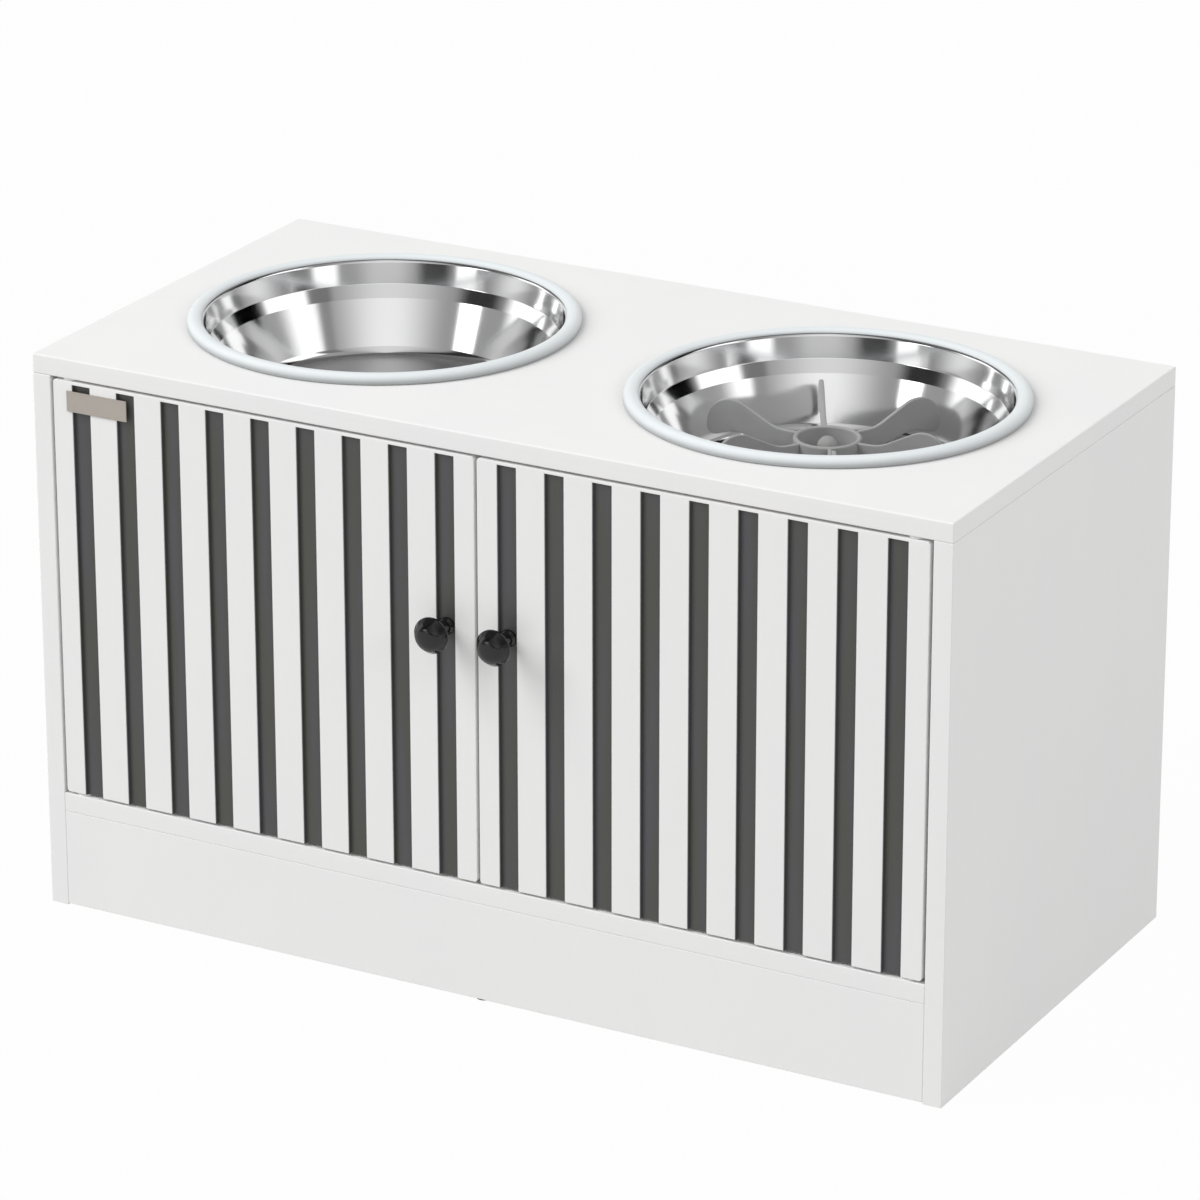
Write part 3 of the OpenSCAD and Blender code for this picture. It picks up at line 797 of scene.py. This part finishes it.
@dataclass
class SlattedDoor:
    """A door board with upright grooves, its lining, knob and fittings."""

    side: Side
    groove_count: int = 9
    groove_width: float = 12.3 * MM
    groove_depth: float = 2.4 * MM
    end_slat: float = 13.2 * MM
    groove_top: float = 2 * MM
    corner: float = 2 * MM
    corner_steps: int = 5
    ease: float = 0.45 * MM

    @property
    def body(self) -> str:
        """The body that the door is."""
        return f"{self.side.word}_door"

    def build(self) -> None:
        """Builds the door with all that is on it."""
        self.board()
        Knob(self.side).build()
        if self.side is Side.LEFT:
            LabelPlate().build()
        word = self.side.word
        coat(f"{word}_groove_liners", LINER)
        for fitting in ("knob_screw", "strike_plate", "strike_screws", "upper_pin", "lower_pin"):
            coat(f"{word}_{fitting}", PLATED)

    def board(self) -> None:
        """Builds the slatted board: its plan with the grooves is raised, then closed at their tops."""
        node = f"{self.side.word}_door_panel"
        box = Box.of(node)
        low, high = box.low, box.high
        front, floor = low.y, low.y + self.groove_depth
        pitch = (box.size.x - 2 * self.end_slat - self.groove_width) / (self.groove_count - 1)
        plan = [(high.x, high.y), (low.x, high.y), (low.x, front)]
        grooves = []
        for index in range(self.groove_count):
            left = low.x + self.end_slat + index * pitch
            right = left + self.groove_width
            grooves.append([(left, front), (right, front), (right, floor), (left, floor)])
            plan += [(left, front), (left, floor), (right, floor), (right, front)]
        plan.append((high.x, front))
        sketch = Sketch()
        comb = sketch.face([Vector((x, y, low.z)) for x, y in plan])
        top = box.size.z - self.groove_top
        raised = sketch.push([comb], Vector((0, 0, top)))
        upper = [item for item in raised if isinstance(item, Face)]
        bmesh.ops.delete(sketch.bm, geom=upper, context="FACES_ONLY")
        sketch.close()
        rim = [vert for vert in sketch.bm.verts if abs(vert.co.z - low.z - top) < NEAR]
        for groove in grooves:
            sketch.bm.faces.new([self.nearest(rim, corner) for corner in groove])
        rim_edges = [edge for edge in sketch.bm.edges if edge.is_boundary]
        walls = bmesh.ops.extrude_edge_only(sketch.bm, edges=rim_edges)["geom"]
        sketch.shift(walls, Vector((0, 0, self.groove_top)))
        bmesh.ops.edgeloop_fill(sketch.bm, edges=[edge for edge in sketch.bm.edges if edge.is_boundary])
        sketch.close()
        arrises = [edge for edge in sketch.bm.edges if box.holds(edge)]
        inward = [edge for edge in arrises if abs(edge.verts[0].co.y - edge.verts[1].co.y) > NEAR]
        sketch.bevel(inward, self.corner, self.corner_steps)
        sketch.ease(self.ease)
        sketch.cast(f"{self.side.word}_slatted_board", WHITE_BOARD, self.body, "white_board", node)

    @staticmethod
    def nearest(verts: list[Vert], spot: Pair) -> Vert:
        """The vertex that is nearest to a spot, seen from above."""
        return min(verts, key=lambda vert: (vert.co.xy - Vector(spot)).length)


@dataclass
class Knob:
    """A turned knob with a domed head, on the lining of the groove beside the door's free edge."""

    side: Side
    foot_radius: float = 5.25 * MM
    foot_height: float = 1.6 * MM
    neck_radius: float = 4 * MM
    rim: float = 1.4 * MM
    dome: float = 7 * MM
    taper: float = 4.5 * MM
    shoulder: Pair = (0.66, 0.2)
    bends: tuple[float, ...] = (0.0, 0.4 * MM, 0.4 * MM, 0.8 * MM, 2 * MM, 0.6 * MM, 0.8 * MM)
    dome_bend: float = 0.7
    steps: int = 96

    def build(self) -> None:
        """Builds the knob."""
        word = self.side.word
        box = Box.of(f"{word}_knob")
        head = box.size.x / 2
        tip = box.size.y
        rim_height = tip - self.dome - self.rim
        corners = [
            (0.0, 0.0),
            (self.foot_radius, 0.0),
            (self.foot_radius, self.foot_height),
            (self.neck_radius, 2 * self.foot_height),
            (self.neck_radius, rim_height - self.taper),
            (head, rim_height),
            (head, tip - self.dome),
            (head * self.shoulder[0], tip - self.dome * self.shoulder[1]),
            (0.0, tip),
        ]
        radii = [*self.bends, head * self.dome_bend, 0.0]
        foot = Vector((box.centre.x, box.high.y, box.centre.z))
        sketch = Sketch().lathe(Line(corners, radii, 12).points, foot, self.steps, Vector((0, -1, 0)))
        sketch.cast(f"{word}_domed_knob", BLACK_KNOB, f"{word}_door", "black_knob", f"{word}_knob", 50.0)


@dataclass
class LabelPlate:
    """The bare label plate: a thin plate with a fine raised border."""

    border: float = 0.7 * MM
    sink: float = 0.12 * MM
    ease: float = 0.2 * MM

    def build(self) -> None:
        """Builds the plate."""
        box = Box.of("label_plate")
        sketch = Sketch()
        bmesh.ops.create_cube(sketch.bm, size=1.0, matrix=Matrix.LocRotScale(box.centre, None, box.size))
        sketch.ease(self.ease)
        front = min(sketch.bm.faces, key=lambda face: face.calc_center_median().y)
        bmesh.ops.inset_region(sketch.bm, faces=[front], thickness=self.border, use_even_offset=True)
        bmesh.ops.inset_region(
            sketch.bm, faces=[front], thickness=self.sink, depth=-self.sink, use_even_offset=True
        )
        sketch.cast("bare_label_plate", PLATE_METAL, "left_door", "champagne_plate", "label_plate", 30.0)


# ---- bowls ----


@dataclass
class SteelBowl:
    """A spun steel bowl with a flange, and the silicone ring over the flange."""

    side: Side
    mouth_radius: float = 108 * MM
    wall: float = 0.8 * MM
    depth: float = 51 * MM
    band_height: float = 10.7 * MM
    band_taper: float = 3 * MM
    step_height: float = 7.8 * MM
    step_width: float = 4 * MM
    floor_radius: float = 88.2 * MM
    floor_bend: float = 8 * MM
    bend: float = 2 * MM
    flange_top: float = 3.75 * MM
    flange_width: float = 6 * MM
    colour: Triple = (0.83, 0.83, 0.832)
    steps: int = 288

    @property
    def centre(self) -> Vector:
        """The middle of the bowl's mouth, at the height of the top board's upper face."""
        middle = Box.of(f"{self.side.word}_bowl").centre
        return Vector((middle.x, middle.y, Box.of("top_panel").high.z))

    def build(self) -> None:
        """Builds the bowl and its ring."""
        self.shell()
        RimRing(self.side).build(self.centre)

    def shell(self) -> None:
        """Builds the steel shell."""
        inside = [
            (0.0, -self.depth),
            (self.floor_radius, -self.depth),
            (self.mouth_radius - self.band_taper - self.step_width, -self.band_height - self.step_height),
            (self.mouth_radius - self.band_taper, -self.band_height),
            (self.mouth_radius, self.flange_top),
            (self.mouth_radius + self.flange_width, self.flange_top),
        ]
        radii = [0.0, self.floor_bend, self.bend, self.bend, self.bend, 0.0]
        line = Line(inside, radii, 10)
        outline = line.points + line.beside(self.wall)[::-1]
        word, centre = self.side.word, tuple(self.centre)
        finish = SpunSteel(f"{word}_bowl_steel", self.colour, centre=centre, floor_height=-self.depth)
        sketch = Sketch().lathe(outline, self.centre, self.steps)
        sketch.cast(f"{word}_steel_bowl", finish, f"{word}_feeding_bowl", "bowl_steel", f"{word}_bowl", 60.0)


@dataclass
class RimRing:
    """The soft ring round a bowl's flange: a crowned bead with a slot."""

    side: Side
    cutout_radius: float = 111 * MM
    slot_low: float = 2.9 * MM
    slot_high: float = 3.8 * MM
    slot_radius: float = 114.05 * MM
    cap: float = 2.4 * MM
    waist: float = 2 * MM
    inner_radius: float = 108.6 * MM
    foot_round: float = 1.2 * MM
    crown_steps: int = 12
    steps: int = 256

    def build(self, centre: Vector) -> None:
        """Builds the ring.

        Args:
            centre: The middle of the bowl's mouth.
        """
        word = self.side.word
        node = f"{word}_bowl_ring"
        outer = Box.of(node).size.x / 2
        base = [(self.cutout_radius, 0.0), (outer, 0.0), (outer, self.waist)]
        foot = Line(base, [0.0, self.foot_round, 0.0])
        crown = self.crown(outer, self.waist, 0) + self.crown(outer, self.slot_high, 1)
        slot = [
            (self.slot_radius, self.slot_high),
            (self.slot_radius, self.slot_low),
            (self.cutout_radius, self.slot_low),
        ]
        sketch = Sketch().lathe(foot.points + crown + slot, centre, self.steps)
        sketch.cast(f"{word}_silicone_ring", RIM_SILICONE, f"{word}_feeding_bowl", "rim_silicone", node)

    def crown(self, outer: float, base: float, quarter: int) -> list[Pair]:
        """One half of the ring's crown, a quarter of an ellipse.

        Args:
            outer: The ring's outer radius.
            base: The height at which this half starts or ends.
            quarter: 0 for the outer half, 1 for the inner one.

        Returns:
            The half's points, without the first.
        """
        half = (outer - self.inner_radius) / 2
        rise = self.slot_high + self.cap - base
        steps = range(1, self.crown_steps + 1)
        turns = [(quarter + step / self.crown_steps) * math.pi / 2 for step in steps]
        return [(outer - half + half * math.cos(turn), base + rise * math.sin(turn)) for turn in turns]


# ---- slow-feed insert ----


@dataclass
class SlowFeedInsert:
    """A hub with upright blades, and the suction cup that holds it to the bowl's floor."""

    body: str = "slow_feed_insert"
    hub_radius: float = 20 * MM
    hub_height: float = 28.7 * MM
    hub_wall: float = 2.8 * MM
    web_low: float = 10 * MM
    web: float = 2 * MM
    stem_hole: float = 3.1 * MM
    blade_count: int = 6
    blade_wall: float = 2.4 * MM
    foot_width: float = 8.4 * MM
    reach: float = 78.3 * MM
    lobe_height: float = 41 * MM
    arch_height: float = 22.4 * MM
    dip_height: float = 28.2 * MM
    rise_angle: float = 27.3
    tip_drop: float = 4.3 * MM
    tip_round: float = 5 * MM
    tip_flat: float = 1.6 * MM
    tip_slope: float = 18.0
    arch_start: float = 20 * MM
    arch_share: float = 0.76
    dip_bend: float = 24 * MM
    arch_bend: float = 16 * MM
    arch_start_bend: float = 12 * MM
    root_drop: float = 0.8 * MM
    rim_share: float = 0.45
    dip_limit: float = 0.9
    ease: float = 0.6 * MM
    steps: int = 96

    def build(self) -> None:
        """Builds the insert and its cup."""
        middle = Box.of("right_bowl").centre
        foot = Vector((middle.x, middle.y, Box.of("feeder_insert").low.z))
        sketch = Sketch()
        self.blades(sketch, foot)
        sketch.ease(self.ease, 3)
        sketch.lathe(self.hub_outline(), foot, self.steps)
        sketch.cast("bladed_insert", INSERT_PLASTIC, self.body, "insert_plastic", "feeder_insert")
        SuctionCup().build(foot)

    def hub_outline(self) -> list[Pair]:
        """The closed outline of the hub's wall and web."""
        inner = self.hub_radius - self.hub_wall
        web_top = self.web_low + self.web
        corners = [
            (self.stem_hole, web_top),
            (self.stem_hole, self.web_low),
            (inner, self.web_low),
            (inner, 0.0),
            (self.hub_radius, 0.0),
            (self.hub_radius, self.hub_height),
            (inner, self.hub_height),
            (inner, web_top),
            (self.stem_hole + self.ease, web_top),
        ]
        round_rim = self.rim_share * self.hub_wall
        radii = [0.0, 0.0, 0.0, 0.0, 0.0, round_rim, round_rim, self.ease, 0.0]
        return Line(corners, radii, 6).points

    def blade_outline(self) -> list[Pair]:
        """The outline of a blade: a shallow dip beside the hub, a round lobe, and an arch underneath."""
        root = self.hub_radius - self.hub_wall / 2
        rise, fall = math.radians(self.rise_angle), math.radians(self.tip_slope)
        tip = self.arch_height - self.tip_drop
        lobe = self.lobe_height - tip - self.tip_round - self.tip_flat
        lobe_corner = self.lobe_height - lobe + lobe / math.tan(math.pi / 4 - rise / 2)
        tip_corner = tip + self.tip_round - self.tip_round / math.tan(math.pi / 4 - fall / 2)
        dip = self.reach - (lobe_corner - self.dip_height) / math.tan(rise)
        arch = self.reach - (self.arch_height - tip_corner) / math.tan(fall)
        corners = [
            (root, self.hub_height - self.root_drop),
            (dip, self.dip_height),
            (self.reach, lobe_corner),
            (self.reach, tip_corner),
            (arch, self.arch_height),
            (root + self.arch_start, self.arch_height * self.arch_share),
            (root + self.foot_width, 0.0),
            (root, 0.0),
        ]
        dip_round = min(self.dip_bend, self.dip_limit * (dip - root) / math.tan(rise / 2))
        radii = [0.0, dip_round, lobe, self.tip_round, self.arch_bend, self.arch_start_bend, 0.0, 0.0]
        return Line(corners, radii, 14).points

    def blades(self, sketch: Sketch, foot: Vector) -> None:
        """Adds the blades.

        Args:
            sketch: The mesh that they go into.
            foot: The middle of the hub's lower end.
        """
        half = self.blade_wall / 2
        outline = [Vector((foot.x + r, foot.y - half, foot.z + z)) for r, z in self.blade_outline()]
        sketch.push([sketch.face(outline)], Vector((0, self.blade_wall, 0)))
        first = sketch.bm.verts[:] + sketch.bm.edges[:] + sketch.bm.faces[:]
        for index in range(1, self.blade_count):
            copied = bmesh.ops.duplicate(sketch.bm, geom=first)["geom"]
            verts = [item for item in copied if isinstance(item, Vert)]
            turn = Matrix.Rotation(math.tau * index / self.blade_count, 3, "Z")
            bmesh.ops.rotate(sketch.bm, verts=verts, cent=foot, matrix=turn)


@dataclass
class SuctionCup:
    """The silicone cup under the insert, with a round knob above the web."""

    body: str = "slow_feed_insert"
    skirt: tuple[Pair, ...] = (
        (0.0, 2 * MM),
        (10 * MM, 1.6 * MM),
        (14.5 * MM, 0.0),
        (16 * MM, 0.0),
        (16 * MM, 1 * MM),
        (5 * MM, 7 * MM),
        (3 * MM, 8.5 * MM),
        (3 * MM, 12.1 * MM),
    )
    bends: tuple[float, ...] = (0.0, 6 * MM, 0.0, 0.3 * MM, 0.3 * MM, 2 * MM, 0.6 * MM, 0.0)
    knob_radius: float = 6 * MM
    knob_from: float = -60.0
    knob_steps: int = 16
    top: float = 28.7 * MM
    steps: int = 64

    def build(self, foot: Vector) -> None:
        """Builds the cup.

        Args:
            foot: The point on its axis at the bowl's floor.
        """
        start = math.radians(self.knob_from)
        turn = (math.pi / 2 - start) / self.knob_steps
        angles = [start + turn * index for index in range(self.knob_steps + 1)]
        middle = self.top - self.knob_radius
        ball = [(self.knob_radius * math.cos(a), middle + self.knob_radius * math.sin(a)) for a in angles]
        ball[-1] = (0.0, self.top)
        sketch = Sketch().lathe(Line(self.skirt, self.bends, 6).points + ball, foot, self.steps)
        sketch.cast("cup_with_knob", CUP_SILICONE, self.body, "cup_silicone", "insert_suction_cup", 50.0)


# ---- studio ----


@dataclass(frozen=True)
class Panel:
    """A soft light panel or a dark flag of the studio, as glossy surfaces see it.

    All angles are in degrees: azimuths run from +X towards +Y, and low and high are the rises of its edges.
    """

    middle: float
    half: float
    low: float
    high: float
    tone: float
    soft: float = 3.0
    feather: float = 1.5

    def over(self, paint: Paint, under: Term | float, heading: Term, height: Term) -> Term:
        """Lays the panel over what stands behind it.

        Args:
            paint: The world's node tree.
            under: The brightness behind the panel.
            heading: The azimuth as a share of a full turn.
            height: The upward part of the direction.

        Returns:
            The brightness with the panel in front.
        """
        away = paint.math("ABSOLUTE", paint.math("FRACT", heading + (0.5 - self.middle / 360)) - 0.5)
        across = 1.0 - away.step((self.half - self.soft) / 360, (self.half + self.soft) / 360)
        rise = self.edge(height, self.low) * (1.0 - self.edge(height, self.high))
        return under + across * rise * (self.tone - under)

    def edge(self, height: Term, angle: float) -> Term:
        """A soft step at one rise."""
        low, high = (math.radians(angle + side * self.feather) for side in (-1, 1))
        return height.step(math.sin(low), math.sin(high))


PANELS = {
    "front_haze": Panel(297, 27, 26, 88, 0.78, soft=24),
    "front_glow": Panel(299, 25, 8, 26, 1.05, soft=23),
    "low_front_glow": Panel(300, 14, -5, 8, 0.62, soft=9),
    "back_glow": Panel(115, 52, -5, 16, 0.75, soft=8),
    "back_dark": Panel(122, 88, 17, 88, 0.14, soft=8),
    "left_box": Panel(189, 18, -5, 34, 1.35, soft=6),
    "left_strip": Panel(238.5, 8, 8, 21, 3.0, soft=1.5),
    "left_strip_foot": Panel(247, 7, -5, 8, 1.4, soft=1.5),
    "right_box": Panel(10, 21, 17, 50, 1.4),
    "right_strip": Panel(354, 5, 8, 17, 1.4),
    "right_strip_foot": Panel(339, 8, -5, 8, 1.4),
    "right_flag": Panel(349, 9, 22, 50, 0.2),
    "left_flag": Panel(229, 15, 22, 88, 0.03, soft=7),
    "back_flag": Panel(48, 12, 8, 50, 0.0),
    "low_front_flag": Panel(268, 10, -5, 8, 0.05, soft=5),
    "low_right_flag": Panel(357, 6, -5, 8, 0.2),
}


@dataclass(frozen=True)
class Lamp:
    """A soft lamp that is not seen in reflections, where the world's panels stand for it.

    Its azimuth runs from +X towards +Y and its elevation up from the horizon, both in degrees.
    """

    name: str
    azimuth: float
    elevation: float
    distance: float
    size: Pair
    power: float
    aim: Triple = (0.0, 0.0, 0.2)

    def build(self) -> None:
        """Adds the lamp, facing the object."""
        light = bpy.data.lights.new(self.name, "AREA")
        light.shape = "RECTANGLE"
        light.size, light.size_y = self.size
        light.energy = self.power
        a, e = math.radians(self.azimuth), math.radians(self.elevation)
        away = Vector((math.cos(a) * math.cos(e), math.sin(a) * math.cos(e), math.sin(e)))
        lamp = add_object(self.name, light)
        lamp.location = Vector(self.aim) + away * self.distance
        lamp.rotation_euler = (-away).to_track_quat("-Z", "Y").to_euler()
        lamp.visible_glossy = False


@dataclass
class Studio:
    """Floor, world and lamps: a soft, plain studio with a white backdrop."""

    floor_size: float = 8.0
    floor_white: float = 0.55
    floor_glow: float = 0.54
    glow_share: float = 0.5
    camera_share: float = 0.97
    ambient: float = 0.535
    glossy_floor: float = 1.0
    horizon: float = 0.002
    ambient_rise: float = 0.095
    backdrop: float = 0.35

    def build(self) -> None:
        """Builds the studio."""
        self.floor()
        self.world()
        Lamp("key", azimuth=215, elevation=40, distance=10.0, size=(2.8, 8.3), power=675.0).build()
        Lamp("right_fill", azimuth=345, elevation=28, distance=6.0, size=(3.0, 1.6), power=64.0).build()

    def floor(self) -> None:
        """Lays the pale floor, which the camera sees as almost pure white, with the object's shadow."""
        sketch = Sketch()
        bmesh.ops.create_grid(sketch.bm, x_segments=1, y_segments=1, size=self.floor_size / 2)
        floor = add_object("studio_floor", sketch.mesh("studio_floor"))
        material = bpy.data.materials.new("studio_floor_white")
        floor.data.materials.append(material)
        paint = Paint(material)
        matt = paint.node("ShaderNodeBsdfDiffuse", {"Color": (*(self.floor_white,) * 3, 1.0)})
        path = paint.node("ShaderNodeLightPath")
        seen = Term(paint, path.socket.node.outputs["Is Camera Ray"])
        mirror = Term(paint, path.socket.node.outputs["Is Glossy Ray"])
        white = paint.node("ShaderNodeEmission", {"Color": (1, 1, 1, 1)})
        soft = paint.node("ShaderNodeEmission", {"Color": (*(self.floor_glow,) * 3, 1.0)})
        lit = paint.node("ShaderNodeMixShader", {0: self.glow_share, 1: matt, 2: soft})
        share = seen * self.camera_share + mirror
        mixed = paint.node("ShaderNodeMixShader", {0: share, 1: lit, 2: white})
        paint.node("ShaderNodeOutputMaterial", {"Surface": mixed})

    def world(self) -> None:
        """Sets the world: white for the camera, soft for matt surfaces, panels on grey for glossy ones."""
        world = bpy.data.worlds.new("studio_world")
        bpy.context.scene.world = world
        paint = Paint(world)
        direction = paint.node("ShaderNodeTexCoord", output="Generated")
        x, y, height = paint.split(direction)
        heading = paint.math("FRACT", paint.math("ARCTAN2", y, x) / math.tau)
        glossy = self.backdrop
        for panel in PANELS.values():
            glossy = panel.over(paint, glossy, heading, height)
        above = paint.math("MAXIMUM", height, 0.0)
        glossy = self.glossy_floor + above.step(0.0, self.horizon) * (glossy - self.glossy_floor)
        matt = self.ambient + self.ambient_rise * above
        camera = paint.node("ShaderNodeLightPath", output="Is Camera Ray")
        mirror = paint.node("ShaderNodeLightPath", output="Is Glossy Ray")
        glow = camera + (1.0 - camera) * (mirror * glossy + (1.0 - mirror) * matt)
        backdrop = paint.node("ShaderNodeBackground", {"Color": (1, 1, 1, 1), "Strength": glow})
        paint.node("ShaderNodeOutputWorld", {"Surface": backdrop})


@dataclass(frozen=True)
class PhotoCamera:
    """The camera at the place and angle of the photograph."""

    place: Triple = (1.58675, -2.87935, 1.47689)
    heading: float = 28.782
    pitch: float = 21.148
    roll: float = -0.054
    lens: float = 178.32
    sensor: float = 36.0
    reach: float = 60.0

    def build(self) -> None:
        """Builds the camera and makes it the scene's."""
        data = bpy.data.cameras.new("photo_camera")
        data.lens = self.lens
        data.sensor_width = self.sensor
        data.clip_end = self.reach
        camera = add_object("photo_camera", data)
        turn = Matrix.Rotation(math.radians(self.heading), 4, "Z")
        tilt = Matrix.Rotation(math.radians(90 - self.pitch), 4, "X")
        roll = Matrix.Rotation(math.radians(self.roll), 4, "Z")
        camera.matrix_world = Matrix.Translation(self.place) @ turn @ tilt @ roll
        bpy.context.scene.camera = camera


def main() -> None:
    """Builds every sub-assembly and the studio round it."""
    logging.basicConfig(level=logging.INFO, format="%(message)s")
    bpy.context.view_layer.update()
    bpy.context.scene.view_settings.view_transform = "Standard"
    PhotoCamera().build()
    Carcass().build()
    JointHardware().build()
    Catch().build()
    for side in Side:
        SlattedDoor(side).build()
        SteelBowl(side).build()
    SlowFeedInsert().build()
    Studio().build()


if __name__ == "__main__":
    main()
